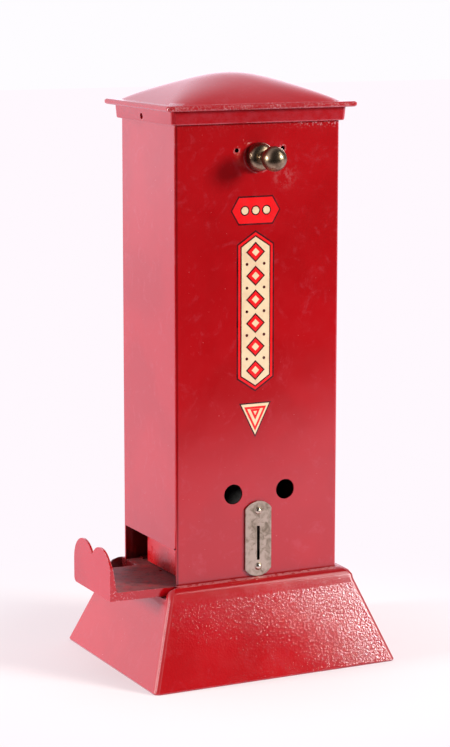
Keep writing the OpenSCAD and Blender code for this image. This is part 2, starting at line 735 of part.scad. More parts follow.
module pull_screw() color("silver") {
    xrod(stop_y, deck_z + 10, flange_x - eps, hw + bar_out - 3, screw_r);
    xrod(stop_y, deck_z + 10, flange_x - 1.6, flange_x, screw_d);
}

// gravity pawl: its nose blocks the empty pocket and is lifted by a coin
module coin_pawl() color("slategray") {
    nose_z = carrier_top + run;
    difference() {
        union() {
            yrod(pawl_x, pawl_z, pawl_front, pawl_back, pawl_boss);
            translate([0, pawl_back, 0]) rotate([90, 0, 0]) linear_extrude(pawl_back - pawl_front)
                polygon([[pawl_x, pawl_z + 2.6], [-1.6, pawl_z + 0.6], [-2.2, pawl_z - 1], [-2.2, nose_z + 1.2],
                    [-1.2, nose_z], [0.8, nose_z], [1.6, nose_z + 0.8], [2.4, pawl_z - 3.4], [pawl_x, pawl_z - 2.6]]);
        }
        yrod(pawl_x, pawl_z, pawl_front - 1, pawl_back + 1, screw_r + fit);
        // ramp that the coin's edge meets
        translate([0, pawl_front, nose_z + 1]) rotate([-45, 0, 0]) translate([-4, -6, -6]) cube([8, 6, 6]);
    }
}

base();
bottom_cover();
bottom_cover_screws();
deck_tray();
deck_bolts();
tower_shell();
tower_screws();
coin_plate();
coin_plate_rivets();
coin_chute();
magazine();
magazine_upper_bracket();
magazine_lower_bracket();
bracket_rivets();
pawl_pin();
stop_screw();
clamp_plate();
knob();
lid();
lid_tongue();
lid_tongue_screws();
slide_box();
carrier_block_left();
carrier_block_right();
carrier_rivets();
pull_bar();
pull_screw();
coin_pawl();
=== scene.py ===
"""Looks of the counter-top match vending machine: enamel, plating, brass, painted ornament, studio.

Lengths are millimetres unless a line says metres, also inside the materials. Angles are degrees.
"""
import json
from math import cos, hypot, pi, radians, sin

import bmesh
import bpy
from mathutils import Euler, Matrix, Vector

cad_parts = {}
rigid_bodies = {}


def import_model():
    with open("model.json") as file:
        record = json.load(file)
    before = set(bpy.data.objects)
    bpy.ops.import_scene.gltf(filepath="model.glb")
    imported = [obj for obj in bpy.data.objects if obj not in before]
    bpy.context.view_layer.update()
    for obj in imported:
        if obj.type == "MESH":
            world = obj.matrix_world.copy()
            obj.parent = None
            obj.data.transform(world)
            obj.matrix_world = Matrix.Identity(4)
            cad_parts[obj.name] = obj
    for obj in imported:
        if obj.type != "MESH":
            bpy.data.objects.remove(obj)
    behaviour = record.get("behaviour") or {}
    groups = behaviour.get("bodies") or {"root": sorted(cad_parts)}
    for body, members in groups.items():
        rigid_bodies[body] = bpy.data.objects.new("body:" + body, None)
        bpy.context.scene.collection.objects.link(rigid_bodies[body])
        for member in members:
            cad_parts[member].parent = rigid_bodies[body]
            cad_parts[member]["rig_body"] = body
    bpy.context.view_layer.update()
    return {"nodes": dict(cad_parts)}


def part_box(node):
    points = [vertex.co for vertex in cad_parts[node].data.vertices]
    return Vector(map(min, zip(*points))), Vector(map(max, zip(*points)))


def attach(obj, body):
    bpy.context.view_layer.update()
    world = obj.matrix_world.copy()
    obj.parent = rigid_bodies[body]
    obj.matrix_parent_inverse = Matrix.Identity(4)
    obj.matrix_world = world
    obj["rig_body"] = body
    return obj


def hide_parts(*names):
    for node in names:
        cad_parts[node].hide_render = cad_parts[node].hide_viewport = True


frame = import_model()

nodes = frame["nodes"]
scene = bpy.context.scene

MM = 0.001


def box_mm(node):
    """The node's lowest and highest corners."""
    return [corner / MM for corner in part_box(node)]


TOWER_LO, TOWER_HI = box_mm("tower_shell")
LID_LO = box_mm("lid")[0]
KNOB_LO, KNOB_HI = box_mm("knob")
KNOB_Z = (KNOB_LO.z + KNOB_HI.z) / 2


# Camera at the photograph's viewing angle

IMAGE_HEIGHT = 747
SENSOR = 36
FOCAL_PX = 2346.0
CAMERA_AT = (-0.61737, -1.2415, 0.41506)  # metres
CAMERA_AZIMUTH = -26.331
CAMERA_PITCH = -9.958
CAMERA_ROLL = 0.043


def make_camera():
    """Camera whose sensor width spans the image's longer side, its height."""
    data = bpy.data.cameras.new("camera")
    data.sensor_width = SENSOR
    data.lens = FOCAL_PX * SENSOR / IMAGE_HEIGHT
    camera = bpy.data.objects.new("camera", data)
    camera.location = CAMERA_AT
    level = Euler((radians(90 + CAMERA_PITCH), 0, radians(CAMERA_AZIMUTH))).to_matrix()
    camera.rotation_euler = (level @ Matrix.Rotation(radians(CAMERA_ROLL), 3, "Z")).to_euler()
    scene.collection.objects.link(camera)
    scene.camera = camera


# Shader writing

MIX_SOCKETS = {"RGBA": (6, 7, 2), "FLOAT": (2, 3, 0)}  # a Mix node's inputs A and B, and its result
AO_SAMPLES = 6


def srgb(r, g, b):
    """Linear colour of three sRGB values from 0 to 255."""
    def one(v):
        v /= 255
        return v / 12.92 if v <= 0.04045 else ((v + 0.055) / 1.055) ** 2.4
    return (one(r), one(g), one(b), 1)


class Shader:
    """A material or world tree, with one short method for each kind of node used here."""

    def __init__(self, name, world=False):
        self.owner = (bpy.data.worlds if world else bpy.data.materials).new(name)
        self.owner.use_nodes = True
        self.tree = self.owner.node_tree
        self.tree.nodes.clear()
        self.end = self.add("ShaderNodeOutputWorld" if world else "ShaderNodeOutputMaterial")
        self.matte = None
        if not world:
            self.place()

    def place(self):
        """Object coordinates in millimetres as p, and their three parts as x, y and z."""
        scale = self.add("ShaderNodeVectorMath", operation="SCALE")
        self.put(scale.inputs[0], self.add("ShaderNodeTexCoord").outputs["Object"])
        scale.inputs["Scale"].default_value = 1 / MM
        self.p = scale.outputs[0]
        self.x, self.y, self.z = self.parts(self.p)

    def add(self, kind, **props):
        node = self.tree.nodes.new(kind)
        for key, value in props.items():
            setattr(node, key, value)
        return node

    def put(self, socket, value):
        """Link or set the socket. None leaves it as it is."""
        if isinstance(value, bpy.types.NodeSocket):
            self.tree.links.new(value, socket)
        elif value is not None:
            socket.default_value = value

    def parts(self, vector):
        node = self.add("ShaderNodeSeparateXYZ")
        self.put(node.inputs[0], vector)
        return node.outputs

    def math(self, operation, a, b=None, clamp=False):
        node = self.add("ShaderNodeMath", operation=operation, use_clamp=clamp)
        self.put(node.inputs[0], a)
        self.put(node.inputs[1], b)
        return node.outputs[0]

    def total(self, a, b):
        return self.math("ADD", a, b)

    def plus(self, a, b):
        """Sum kept between 0 and 1."""
        return self.math("ADD", a, b, clamp=True)

    def minus(self, a, b):
        return self.math("SUBTRACT", a, b)

    def mul(self, *values):
        result = values[0]
        for value in values[1:]:
            result = self.math("MULTIPLY", result, value)
        return result

    def most(self, *values):
        result = values[0]
        for value in values[1:]:
            result = self.math("MAXIMUM", result, value)
        return result

    def size(self, a):
        return self.math("ABSOLUTE", a)

    def length(self, a, b):
        return self.math("SQRT", self.total(self.mul(a, a), self.mul(b, b)))

    def ramp(self, value, lo, hi, to_lo=0.0, to_hi=1.0):
        """Smooth step from to_lo at lo to to_hi at hi."""
        node = self.add("ShaderNodeMapRange", interpolation_type="SMOOTHSTEP")
        for socket, v in zip(node.inputs, (value, lo, hi, to_lo, to_hi)):
            self.put(socket, v)
        return node.outputs[0]

    def band(self, value, lo, hi, soft=0.3):
        """One between lo and hi, falling to zero over soft."""
        return self.mul(self.ramp(value, lo - soft, lo), self.ramp(value, hi, hi + soft, 1.0, 0.0))

    def mix(self, factor, a, b, kind="RGBA"):
        """Colour, or number with kind FLOAT, from a at factor 0 to b at factor 1."""
        node = self.add("ShaderNodeMix", data_type=kind)
        in_a, in_b, result = MIX_SOCKETS[kind]
        self.put(node.inputs[0], factor)
        self.put(node.inputs[in_a], a)
        self.put(node.inputs[in_b], b)
        return node.outputs[result]

    def stretch(self, x, y, z):
        """The place with each part scaled, for noise that lies closer along one axis than another."""
        node = self.add("ShaderNodeVectorMath", operation="MULTIPLY")
        self.put(node.inputs[0], self.p)
        node.inputs[1].default_value = (x, y, z)
        return node.outputs[0]

    def noise(self, size, detail=3, rough=0.5, distortion=0.0, at=None):
        """Noise with features of about size."""
        node = self.add("ShaderNodeTexNoise")
        self.put(node.inputs["Vector"], at or self.p)
        node.inputs["Scale"].default_value = 1 / size
        node.inputs["Detail"].default_value = detail
        node.inputs["Roughness"].default_value = rough
        node.inputs["Distortion"].default_value = distortion
        return node.outputs[0]

    def facing(self, axis, flat=True):
        """How far the flat or the smoothed face looks along +axis, -1 to 1."""
        normal = self.add("ShaderNodeNewGeometry").outputs["True Normal" if flat else "Normal"]
        return self.parts(normal)["XYZ".index(axis)]

    def against(self, axis, full=-0.9, none=-0.8):
        """One on flat faces that look along -axis."""
        return self.ramp(self.facing(axis), full, none, 1.0, 0.0)

    def occlusion(self, distance, inside=False):
        """From zero in the open to one in a tight seam, or with inside, from a face's middle to its edge."""
        node = self.add("ShaderNodeAmbientOcclusion", inside=inside, samples=AO_SAMPLES)
        node.inputs["Distance"].default_value = distance * MM
        return self.minus(1.0, node.outputs["AO"])

    def from_line(self, cx, cz):
        """Distance from a line along Y through x, z."""
        return self.length(self.minus(self.x, cx), self.minus(self.z, cz))

    def bump(self, height, distance, strength=1.0, normal=None):
        node = self.add("ShaderNodeBump")
        node.inputs["Strength"].default_value = strength
        node.inputs["Distance"].default_value = distance * MM
        self.put(node.inputs["Height"], height)
        self.put(node.inputs["Normal"], normal)
        return node.outputs[0]

    def surface(self, color, roughness, normal, ior, metallic=0.0):
        node = self.add("ShaderNodeBsdfPrincipled")
        self.put(node.inputs["Base Color"], color)
        self.put(node.inputs["Roughness"], roughness)
        self.put(node.inputs["Normal"], normal)
        node.inputs["IOR"].default_value = ior
        node.inputs["Metallic"].default_value = metallic
        self.put(self.end.inputs["Surface"], node.outputs[0])


# Enamel and metal

RED_DEEP = srgb(162, 8, 14)
RED_LIGHT = srgb(170, 10, 17)
# Pale red of dust, also painted as sheen at the top of the pedestal's slopes
RED_PALE = srgb(172, 46, 54)
# Darker red painted as shade on the pedestal's right
RED_PAINTED_SHADE = srgb(116, 14, 22)
# Pale of chips, also painted as highlight lines on the pedestal
CHIP_AND_HIGHLIGHT_PALE = srgb(206, 142, 142)
CHIP_DARK = srgb(74, 18, 20)
# Dark brown-red of dirt, also used as painted shade in seams, inside the tower, on the tray's step and in dark
# corners
GRIME_AND_SHADE = srgb(58, 14, 16)
ENAMEL_IOR = 1.62
METAL_IOR = 1.5
EDGE_REACH = 0.7          # how far the wear of an edge reaches
SEAM_REACH = 3.0          # how far dirt and painted shade reach out of a seam
METAL_SEAM_REACH = 1.5
PALE_COVER = 0.85         # how fully chips and painted highlight lines hide the paint
CHIP_DEPTH = 0.25         # in heights of the orange peel
MATTE_ROUGHNESS = 0.4     # what a chip or a full matt patch adds
SCRATCH_ROUGHNESS = 0.03
DEEP_SHADE = 0.85              # how fully the painted shade inside the tower, on the tray's step and in the pedestal's corner hides the paint


def enamel(name, peel, peel_size, wear, specks, seam_dirt_and_shade=0.5, rough=0.13, wave=0.3, smears=0.3,
           extra=None, calm=None):
    """Red enamel with dusty smears, frayed edges, small chips, dirt and painted shade in its seams, scratches
    and orange peel.

    peel and peel_size are the orange peel's height and width, and wave is the strength of the broad waves.
    wear frays the edges, specks scatters the chips, smears dusts the colour, and the seam argument darkens the
    seams with dirt and painted shade.
    extra(s, color, pale) adds one piece's own marks, painted shade and painted highlights, and may set s.matte.
    calm(s) scales the peel by place.
    """
    s = Shader(name)
    color = s.mix(s.ramp(s.noise(60, 3, 0.5, 0.3), 0.4, 0.6), RED_DEEP, RED_LIGHT)
    smear = s.mul(s.ramp(s.noise(16, 5, 0.7, 1.5), 0.52, 0.68), s.ramp(s.noise(3, 3, 0.6), 0.4, 0.6, 0.2, 1.0))
    color = s.mix(s.mul(smear, smears), color, RED_PALE)

    edge = s.ramp(s.occlusion(EDGE_REACH, inside=True), 0.14, 0.5)
    gone = s.ramp(s.noise(1.9, 5, 0.72), 0.66 - 0.26 * wear, 0.72 - 0.26 * wear)
    rubbed = s.ramp(s.noise(9, 3, 0.6), 0.42, 0.62, 0.15, 1.0)
    speck = s.mul(s.ramp(s.noise(1.3, 3, 0.6), 0.7, 0.75), s.ramp(s.noise(14, 2), 0.48, 0.62, 0.0, specks))
    pale = s.most(s.mul(edge, gone, rubbed), speck)
    if extra:
        color, pale = extra(s, color, pale)
    nick = s.ramp(s.noise(0.6, 2, 0.5), 0.52, 0.6)
    color = s.mix(s.mul(pale, PALE_COVER), color, s.mix(s.mul(nick, 0.5), CHIP_AND_HIGHLIGHT_PALE, CHIP_DARK))

    # Dirt and painted shade: the colour darkens in the seams that occlusion finds, broken up by noise
    seam = s.ramp(s.occlusion(SEAM_REACH), 0.25, 0.8)
    dirt_and_shade = s.mul(seam, s.ramp(s.noise(5, 4, 0.6), 0.3, 0.6, 0.4, 1.0), seam_dirt_and_shade)
    color = s.mix(dirt_and_shade, color, GRIME_AND_SHADE)

    scratch = s.ramp(s.noise(1.2, 2, 0.5, at=s.stretch(0.08, 0.08, 1.0)), 0.66, 0.72)
    roughness = s.ramp(s.noise(9, 4, 0.6), 0.3, 0.7, rough * 0.85, rough * 1.15)
    roughness = s.plus(roughness, s.mul(pale, MATTE_ROUGHNESS))
    roughness = s.plus(roughness, s.mul(scratch, SCRATCH_ROUGHNESS))
    if s.matte:
        roughness = s.plus(roughness, s.mul(s.matte, MATTE_ROUGHNESS))

    height = s.noise(peel_size, 3, 0.55)
    if calm:
        height = s.mul(height, calm(s))
    height = s.plus(height, s.mul(pale, -CHIP_DEPTH))
    wavy = s.bump(s.noise(34, 2, 0.4), 0.5, wave)
    s.surface(color, roughness, s.bump(height, peel, normal=wavy), ENAMEL_IOR)
    return s.owner


def metal(name, light, dark, rough, grain=(1, 1, 1), patina=0.5, dents=0.02):
    """Bare or plated metal with cloudy patina and fine grain, which lies grain times closer along x, y, z."""
    s = Shader(name)
    stain = s.ramp(s.noise(5, 5, 0.65, 0.6), 0.4, 0.68, 0.0, patina)
    color = s.mix(stain, light, dark)
    # Dirt and painted shade: darker where occlusion finds seams
    color = s.mix(s.ramp(s.occlusion(METAL_SEAM_REACH), 0.3, 0.8, 0.0, 0.6), color, GRIME_AND_SHADE)
    fine = s.noise(0.35, 3, 0.6, at=s.stretch(*grain))
    roughness = s.plus(s.ramp(fine, 0.3, 0.7, rough * 0.8, rough * 1.2), s.mul(stain, 0.18))
    normal = s.bump(s.plus(s.mul(fine, 0.4), s.noise(3, 3, 0.5)), dents)
    s.surface(color, roughness, normal, METAL_IOR, metallic=1.0)
    return s.owner


# Mesh work

WELD = 2e-6  # metres
FLAT_BELOW = 0.1
BEVEL_ABOVE = 28
BEVEL_SEGMENTS = 2
BEVEL_PROFILE = 0.7
SMOOTH_BELOW = 32
NORMAL_WEIGHT = 80


def new_mesh(name, bm):
    """Mesh with what bm holds. This frees bm."""
    mesh = bpy.data.meshes.new(name)
    bm.to_mesh(mesh)
    bm.free()
    return mesh


def new_object(name, mesh, *materials):
    made = bpy.data.objects.new(name, mesh)
    scene.collection.objects.link(made)
    for material in materials:
        mesh.materials.append(material)
    return made


def refined(node, width, material):
    """The node's solid with real rounded edges of that width, in place of the node."""
    source = nodes[node]
    mesh = source.data.copy()
    mesh.materials.clear()
    bm = bmesh.new()
    bm.from_mesh(mesh)
    bmesh.ops.remove_doubles(bm, verts=bm.verts, dist=WELD)
    bmesh.ops.dissolve_limit(bm, angle_limit=radians(FLAT_BELOW), verts=bm.verts, edges=bm.edges)
    sharp = [e for e in bm.edges if len(e.link_faces) == 2 and e.calc_face_angle(0) > radians(BEVEL_ABOVE)]
    bmesh.ops.bevel(bm, geom=sharp, offset=width * MM, offset_type="OFFSET", segments=BEVEL_SEGMENTS,
                    profile=BEVEL_PROFILE, affect="EDGES", clamp_overlap=True, harden_normals=False)
    bm.to_mesh(mesh)
    bm.free()
    for polygon in mesh.polygons:
        polygon.use_smooth = True
    mesh.set_sharp_from_angle(angle=radians(SMOOTH_BELOW))
    piece = new_object(node + "_finish", mesh, material)
    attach(piece, source["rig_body"])
    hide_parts(node)
    weighted = piece.modifiers.new("even", "WEIGHTED_NORMAL")
    weighted.keep_sharp = True
    weighted.weight = NORMAL_WEIGHT


def prism(bm, outline, y_back, y_front, slot):
    """Closed slab with its outline in x, z and its two faces across Y."""
    back = [bm.verts.new((x * MM, y_back * MM, z * MM)) for x, z in outline]
    front = [bm.verts.new((x * MM, y_front * MM, z * MM)) for x, z in outline]
    faces = [bm.faces.new(front), bm.faces.new(back[::-1])]
    for i in range(len(outline)):
        j = (i + 1) % len(outline)
        faces.append(bm.faces.new((front[j], front[i], back[i], back[j])))
    for face in faces:
        face.material_index = slot


# Studio

AIM = Vector((0, 0, 0.15))  # metres
FLOOR_HALF = 6.0            # metres
FLOOR_CELLS = 8
PAPER_SLANT = 0.6
PAPER_EDGE = (-635, -255)   # the room's dark turns into paper over this stretch of y + PAPER_SLANT * x
PAPER_WHITE = srgb(255, 248, 254)
PAPER_LIT = (0.857, 0.80, 0.75, 1)
BACKDROP_WHITE = srgb(254, 252, 255)
SHEEN_WHITE = (0.97, 0.86, 1.0, 1)
ROOM_DARK = (0.02, 0.02, 0.02, 1)
BOUNCE = (2.4, 0.5)         # the paper's light on the machine, from close to it and from far off
MIRRORED = (1.25, 2.9)      # the paper's light in reflections, close and far off


def make_floor():
    """White paper. Past its front edge the room is dark, which only reflections and bounced light see.

    Reflections show the paper brighter far off, and shaded a little in front of the machine.
    """
    s = Shader("paper")
    path = s.add("ShaderNodeLightPath")
    seen = path.outputs["Is Camera Ray"]
    away = s.length(s.x, s.y)
    paper = s.ramp(s.total(s.y, s.mul(s.x, PAPER_SLANT)), *PAPER_EDGE)
    reached = s.mix(paper, ROOM_DARK, SHEEN_WHITE)
    diffuse = s.add("ShaderNodeBsdfDiffuse")
    s.put(diffuse.inputs["Color"], s.mix(seen, reached, PAPER_LIT))

    glow = s.add("ShaderNodeEmission")
    s.put(glow.inputs["Color"], s.mix(seen, reached, PAPER_WHITE))
    shaded = s.mul(s.ramp(s.y, -260, -120, 0.2, 0.0), s.ramp(s.x, 80, 230, 1.0, 0.0))
    mirrored = s.mul(s.ramp(away, 300, 3600, *MIRRORED), s.minus(1.0, shaded))
    unseen = s.mix(path.outputs["Is Glossy Ray"], s.ramp(away, 100, 700, *BOUNCE), mirrored, "FLOAT")
    s.put(glow.inputs["Strength"], s.mix(seen, unseen, 1.0, "FLOAT"))

    lit = s.add("ShaderNodeMixShader")
    s.put(lit.inputs[0], s.total(s.mul(seen, s.ramp(away, 125, 255, -0.1, 0.5)), 0.5))
    s.put(lit.inputs[1], diffuse.outputs[0])
    s.put(lit.inputs[2], glow.outputs[0])
    s.put(s.end.inputs["Surface"], lit.outputs[0])

    bm = bmesh.new()
    bmesh.ops.create_grid(bm, x_segments=FLOOR_CELLS, y_segments=FLOOR_CELLS, size=FLOOR_HALF)
    new_object("floor", new_mesh("floor", bm), s.owner)


def make_world():
    """White backdrop behind and to the left, a dim room in front. The camera sees plain white."""
    s = Shader("studio", world=True)
    path = s.add("ShaderNodeLightPath")
    seen = path.outputs["Is Camera Ray"]
    x, y, z = s.parts(s.add("ShaderNodeTexCoord").outputs["Generated"])
    behind = s.ramp(s.minus(s.mul(y, 0.85), s.mul(x, 0.35)), -0.25, 0.35)
    mirrored = s.total(s.mul(behind, s.ramp(z, 0.05, 0.95, 1.62, 0.85)), 0.08)
    filled = s.total(s.ramp(y, -0.25, 0.45, 0.1, 0.8), s.ramp(z, 0.6, 1.0, 0.0, 0.8))
    strength = s.mix(path.outputs["Is Glossy Ray"], filled, mirrored, "FLOAT")
    strength = s.mix(path.outputs["Is Transmission Ray"], strength, 1.0, "FLOAT")
    strength = s.mix(seen, strength, 1.0, "FLOAT")
    back = s.add("ShaderNodeBackground")
    s.put(back.inputs["Color"], s.mix(seen, SHEEN_WHITE, BACKDROP_WHITE))
    s.put(back.inputs["Strength"], strength)
    s.put(s.end.inputs["Surface"], back.outputs[0])
    scene.world = s.owner


def make_light(name, azimuth, elevation, distance, size, power, color=(1, 1, 1), only_gloss=False):
    """Soft box aimed at the machine, azimuth to the right of the front. distance and size are metres."""
    data = bpy.data.lights.new(name, "AREA")
    data.shape = "RECTANGLE"
    data.size, data.size_y = size
    data.energy = power
    data.color = color
    light = bpy.data.objects.new(name, data)
    a, e = radians(azimuth), radians(elevation)
    way = Vector((sin(a) * cos(e), -cos(a) * cos(e), sin(e)))
    light.location = AIM + way * distance
    light.rotation_euler = way.to_track_quat("Z", "Y").to_euler()
    light.visible_camera = False
    light.visible_diffuse = not only_gloss
    scene.collection.objects.link(light)


scene.view_settings.view_transform = "Standard"
make_camera()
make_world()
make_floor()
make_light("key", 44, 21, 1.6, (0.36, 0.4), 25)
make_light("window", 40, 26, 1.6, (0.22, 0.9), 1.4)
make_light("sheen", 50, 44, 1.6, (0.5, 0.5), 3)
make_light("glint", 42, 21, 0.8, (0.18, 0.18), 0.42, (0.8, 0.95, 1.0), only_gloss=True)
make_light("left", -98, 12, 1.5, (0.28, 0.34), 19.5)


# Marks of single pieces, with painted shade and painted highlights

TRAY_DARK = srgb(100, 28, 28)
TRAY_PALE = srgb(168, 92, 88)
# Brighter red painted as light on the slide's face, which sits in the opening's shade
SLIDE_LIT_RED = srgb(196, 12, 18)
SLIDE_DUSTY = srgb(206, 56, 64)
HOLES = ((-14.1, KNOB_Z + 3.9), (15.8, KNOB_Z + 4.3))  # x, z of the middles
FLAKES = 2.6                                           # how far the chips round a hole reach
COLLAR_RING = (9.2, 9.6)                               # inner and outer radius
CLOUD = (17.0, KNOB_Z - 11.0)                          # x, z of the middle
FLANGE_Z = (LID_LO.z + 8.2, LID_LO.z + 11.2)           # lower and upper edge of its rim
LIP_X = TOWER_LO.x - 38                                # near the tray's lip
SHOULDER_Z = TOWER_LO.z - 6.5                          # where the pedestal's slopes round over


def tower_marks_and_shade(s, color, pale):
    """Chipped rims of the empty holes, the ring that the knob's collar has rubbed, paint lost by the lid.

    Then a pale cloud to the knob's lower right, a dark seam down the front's left edge, and painted shade over
    the inside.
    """
    front = s.against("Y")
    flake = s.noise(1.1, 4, 0.7)
    for cx, cz in HOLES:
        reach = s.total(s.from_line(cx, cz), s.mul(flake, -FLAKES))
        rim = s.mul(s.ramp(reach, 0.7, 1.3, 0.5, 0.0), s.ramp(s.noise(1.7, 3, 0.6), 0.46, 0.58, 0.05, 0.9))
        pale = s.most(pale, s.mul(rim, front))
    ring = s.band(s.from_line(0.0, KNOB_Z), *COLLAR_RING, 0.4)
    ring = s.mul(ring, s.ramp(s.noise(4, 3, 0.6), 0.4, 0.6, 0.03, 0.3))
    lower_left = s.ramp(s.total(s.minus(s.z, KNOB_Z), s.x), -2.0, 4.0, 1.0, 0.1)
    pale = s.most(pale, s.mul(ring, lower_left, front))
    by_lid = s.mul(s.ramp(s.z, LID_LO.z - 5, LID_LO.z - 0.5), s.ramp(s.x, 8, 44, 0.1, 0.9))
    pale = s.most(pale, s.mul(by_lid, s.ramp(s.noise(1.3, 4, 0.7), 0.55, 0.6)))

    cloud = s.mul(s.ramp(s.from_line(*CLOUD), 2.0, 11.0, 0.24, 0.0), s.ramp(s.noise(5, 4, 0.7), 0.42, 0.64))
    color = s.mix(s.mul(cloud, front), color, CHIP_AND_HIGHLIGHT_PALE)
    seam = s.mul(s.ramp(s.x, TOWER_LO.x + 0.9, TOWER_LO.x + 2.2, 0.5, 0.0), front)
    color = s.mix(seam, color, GRIME_AND_SHADE)
    # Painted shade: the shell's inner faces are darkened
    inside_shade = [s.ramp(s.size(v), half - 0.7, half - 0.5, 1.0, 0.0)
              for v, half in ((s.x, TOWER_HI.x), (s.y, TOWER_HI.y))]
    return s.mix(s.mul(*inside_shade, DEEP_SHADE), color, GRIME_AND_SHADE), pale


def lid_wear(s, color, pale):
    """Rough, pitted front edge of the flange and a dusty skirt below it."""
    front = s.against("Y", -0.6, -0.4)
    flange = s.mul(s.band(s.z, *FLANGE_Z, 0.4), front)
    color = s.mix(s.mul(flange, 0.35), color, RED_PALE)
    pits = s.ramp(s.noise(0.9, 4, 0.75), 0.5, 0.6, 0.0, 0.75)
    pale = s.most(pale, s.mul(flange, pits, s.ramp(s.noise(12, 3), 0.36, 0.6, 0.3, 0.95)))
    skirt = s.mul(s.ramp(s.z, FLANGE_Z[0] - 0.6, FLANGE_Z[0], 1.0, 0.0), front)
    dust = s.mul(skirt, s.ramp(s.noise(6, 4, 0.65), 0.3, 0.7, 0.15, 0.8))
    return s.mix(dust, color, RED_PALE), pale


def tray_wear_and_shade(s, color, pale):
    """Floor worn brown-grey by packets and fingers, painted shade on the step at its back, chips on its front.
    """
    floor = s.mul(s.ramp(s.facing("Z"), 0.8, 0.9), s.ramp(s.z, TOWER_LO.z + 1, TOWER_LO.z + 2, 1.0, 0.0))
    grain = s.ramp(s.noise(1.1, 5, 0.75), 0.36, 0.64)
    inward = s.ramp(s.x, LIP_X, LIP_X + 26)
    bare = s.mix(s.mul(inward, 0.55), s.mix(grain, TRAY_DARK, TRAY_PALE), TRAY_DARK)
    color = s.mix(s.mul(floor, s.ramp(s.noise(8, 4, 0.7), 0.4, 0.6, 0.1, 0.85)), color, GRIME_AND_SHADE)
    rub = s.ramp(s.noise(4.5, 5, 0.75, 0.8), 0.4, 0.58, 0.1, 0.95)
    color = s.mix(s.mul(floor, rub), color, bare)
    s.matte = s.mul(floor, s.ramp(grain, 0.0, 1.0, 1.1, 1.6))
    # Painted shade on the step's face that looks towards the lip
    step = s.mul(s.against("X"), s.band(s.x, TOWER_LO.x - 3, TOWER_LO.x + 6))
    color = s.mix(s.mul(step, DEEP_SHADE), color, GRIME_AND_SHADE)
    chips = s.mul(s.ramp(s.noise(1.4, 4, 0.7), 0.57, 0.62), s.ramp(s.x, LIP_X, LIP_X + 20, 0.9, 0.0))
    return color, s.most(pale, s.mul(chips, s.against("Y")))


def slide_wear_and_light(s, color, pale):
    """Pale rubbed paint on the upper part of the slide's end face, over a brighter red that is painted light.
    """
    rub = s.mul(s.ramp(s.noise(5, 4, 0.65), 0.36, 0.6, 0.1, 0.7), s.ramp(s.z, TOWER_LO.z + 5, TOWER_LO.z + 9))
    s.matte = s.most(rub, 0.35)
    # Painted light: the face is mixed towards a brighter red, for the shade it stands in
    return s.mix(rub, s.mix(0.8, color, SLIDE_LIT_RED), SLIDE_DUSTY), pale


def casting_marks_and_light(s, color, pale):
    """Dull hips, the left ones with a broken pale line that is a painted highlight and chips, and slopes with
    dust and painted sheen at the top.

    Then pits at the foot, a pale line round the tower that is a painted highlight, painted shade to the right
    and in the corner by the tray.
    """
    nx = s.size(s.facing("X", flat=False))
    ny = s.size(s.facing("Y", flat=False))
    shoulder = s.ramp(s.z, SHOULDER_Z - 3, SHOULDER_Z, 0.0, 0.1)
    s.matte = s.most(s.ramp(s.mul(nx, ny), 0.02, 0.1, 0.0, 0.8), shoulder)
    slope = s.mul(s.ramp(s.z, SHOULDER_Z, SHOULDER_Z + 2, 1.0, 0.0), s.ramp(s.z, 1, 3))
    # Dust and painted sheen: the slopes are paler at the top, more so to the right
    upper = s.ramp(s.z, SHOULDER_Z - 18, SHOULDER_Z - 3)
    dust_and_sheen = s.mul(slope, upper, s.ramp(s.noise(1.4, 4, 0.7), 0.4, 0.6))
    color = s.mix(s.mul(dust_and_sheen, s.ramp(s.x, -60, 60, 0.35, 0.75)), color, RED_PALE)
    # Painted highlight: a broken pale line down the middle of the left hips, mixed with chips
    hip = s.ramp(s.size(s.minus(nx, ny)), 0.06, 0.14, 1.0, 0.0)
    left = s.ramp(s.x, -30, 10, 1.0, 0.1)
    broken = s.ramp(s.noise(2.4, 5, 0.75), 0.34, 0.44, 0.5, 1.0)
    pale = s.most(pale, s.mul(hip, slope, left, broken))

    foot = s.ramp(s.z, 1.0, 7.0, 1.0, 0.0)
    pits = s.mul(s.ramp(s.noise(1.0, 3, 0.6), 0.66, 0.7), s.ramp(s.noise(11, 2), 0.52, 0.6, 0.0, 0.9))
    pale = s.most(pale, s.mul(pits, foot))
    # Painted highlight: a pale line on the rim round the tower's foot
    rim = s.band(s.z, TOWER_LO.z + 0.1, TOWER_LO.z + 0.5, 0.15)
    pale = s.most(pale, s.mul(rim, s.ramp(s.noise(5, 4, 0.7), 0.4, 0.55, 0.1, 0.6)))
    # Painted shade: the pedestal darkens towards the right
    color = s.mix(s.ramp(s.x, 0, 70, 0.0, 0.35), color, RED_PAINTED_SHADE)
    # Painted shade in the corner at the left back of the pedestal's top, behind the tray
    outer = s.mul(s.ramp(s.x, TOWER_LO.x, TOWER_LO.x + 1, 1.0, 0.0),
                  s.ramp(s.y, TOWER_HI.y - 3, TOWER_HI.y - 1))
    inner = s.mul(s.ramp(s.x, TOWER_LO.x + 8, TOWER_LO.x + 10, 1.0, 0.0),
                  s.band(s.y, TOWER_HI.y - 6, TOWER_HI.y - 1))
    corner = s.mul(s.most(outer, inner), s.ramp(s.z, SHOULDER_Z, SHOULDER_Z + 1, 0.0, DEEP_SHADE))
    return s.mix(corner, color, GRIME_AND_SHADE), pale


def clean_shoulder(s):
    """The casting is smooth on its rounded shoulder and rough below it, most so at the top and to the right."""
    below = s.ramp(s.z, SHOULDER_Z - 3, SHOULDER_Z - 1, 1.0, 0.2)
    right = s.ramp(s.total(s.x, s.mul(s.z, 0.8)), -10, 80, 0.5, 1.0)
    return s.mul(below, s.most(right, s.ramp(s.z, 8, 38, 0.55, 1.0)))


